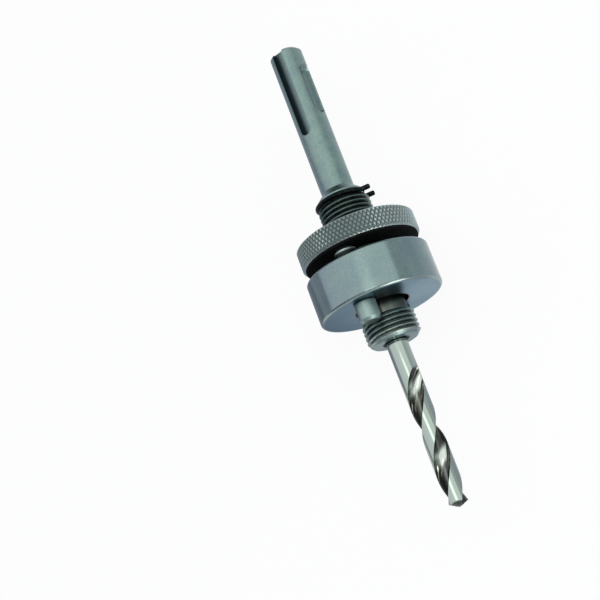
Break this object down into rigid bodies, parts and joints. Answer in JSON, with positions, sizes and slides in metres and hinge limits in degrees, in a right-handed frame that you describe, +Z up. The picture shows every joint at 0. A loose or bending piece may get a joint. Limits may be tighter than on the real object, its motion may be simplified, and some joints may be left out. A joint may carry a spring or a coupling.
{
  "type": "hole saw arbor",
  "caption": "Hole saw arbor with a grooved hammer-drill shank, a knurled lock nut, a drive plate with pins, a saw thread and a pilot drill.",
  "frame": {"origin": "on the axis, at the drive plate's front face, midway between the drive pins", "axes": "+X along the axis from the shank to the drill's tip, +Z up through the first drive pin"},
  "size_m": [0.1459, 0.037, 0.037],
  "materials": {
    "machined_steel": "satin turned alloy steel",
    "knurled_steel": "diamond-knurled steel",
    "plate_steel": "fine-turned steel",
    "pin_steel": "ground dowel steel",
    "spring_wire": "black oxide spring wire",
    "black_washer": "black fibre",
    "drill_steel": "bright ground high-speed steel",
    "black_screw": "black oxide steel"
  },
  "bodies": {
    "arbor": {"arbor_body": "machined_steel", "snap_ring": "spring_wire", "pilot_drill": "drill_steel", "grub_screw": "black_screw"},
    "washer": {"friction_washer": "black_washer"},
    "nut": {"lock_nut": "knurled_steel"},
    "plate": {"drive_plate": "plate_steel", "drive_pin_1": "pin_steel", "drive_pin_2": "pin_steel"}
  },
  "joints": [
    {"name": "nut_travel", "type": "slide", "parent": "arbor", "child": "washer", "axis": [1, 0, 0], "range_m": [-0.00925, 0]},
    {"name": "nut_turn", "type": "hinge", "parent": "washer", "child": "nut", "pos_m": [-0.0203, 0, 0], "axis": [1, 0, 0], "range_deg": [-2340, 0]},
    {"name": "plate_slide", "type": "slide", "parent": "washer", "child": "plate", "axis": [1, 0, 0], "range_m": [0, 0.0033]}
  ],
  "couplings": [
    {"joint": "nut_travel", "follows": "nut_turn", "m_per_rad": 0.00022458}
  ]
}
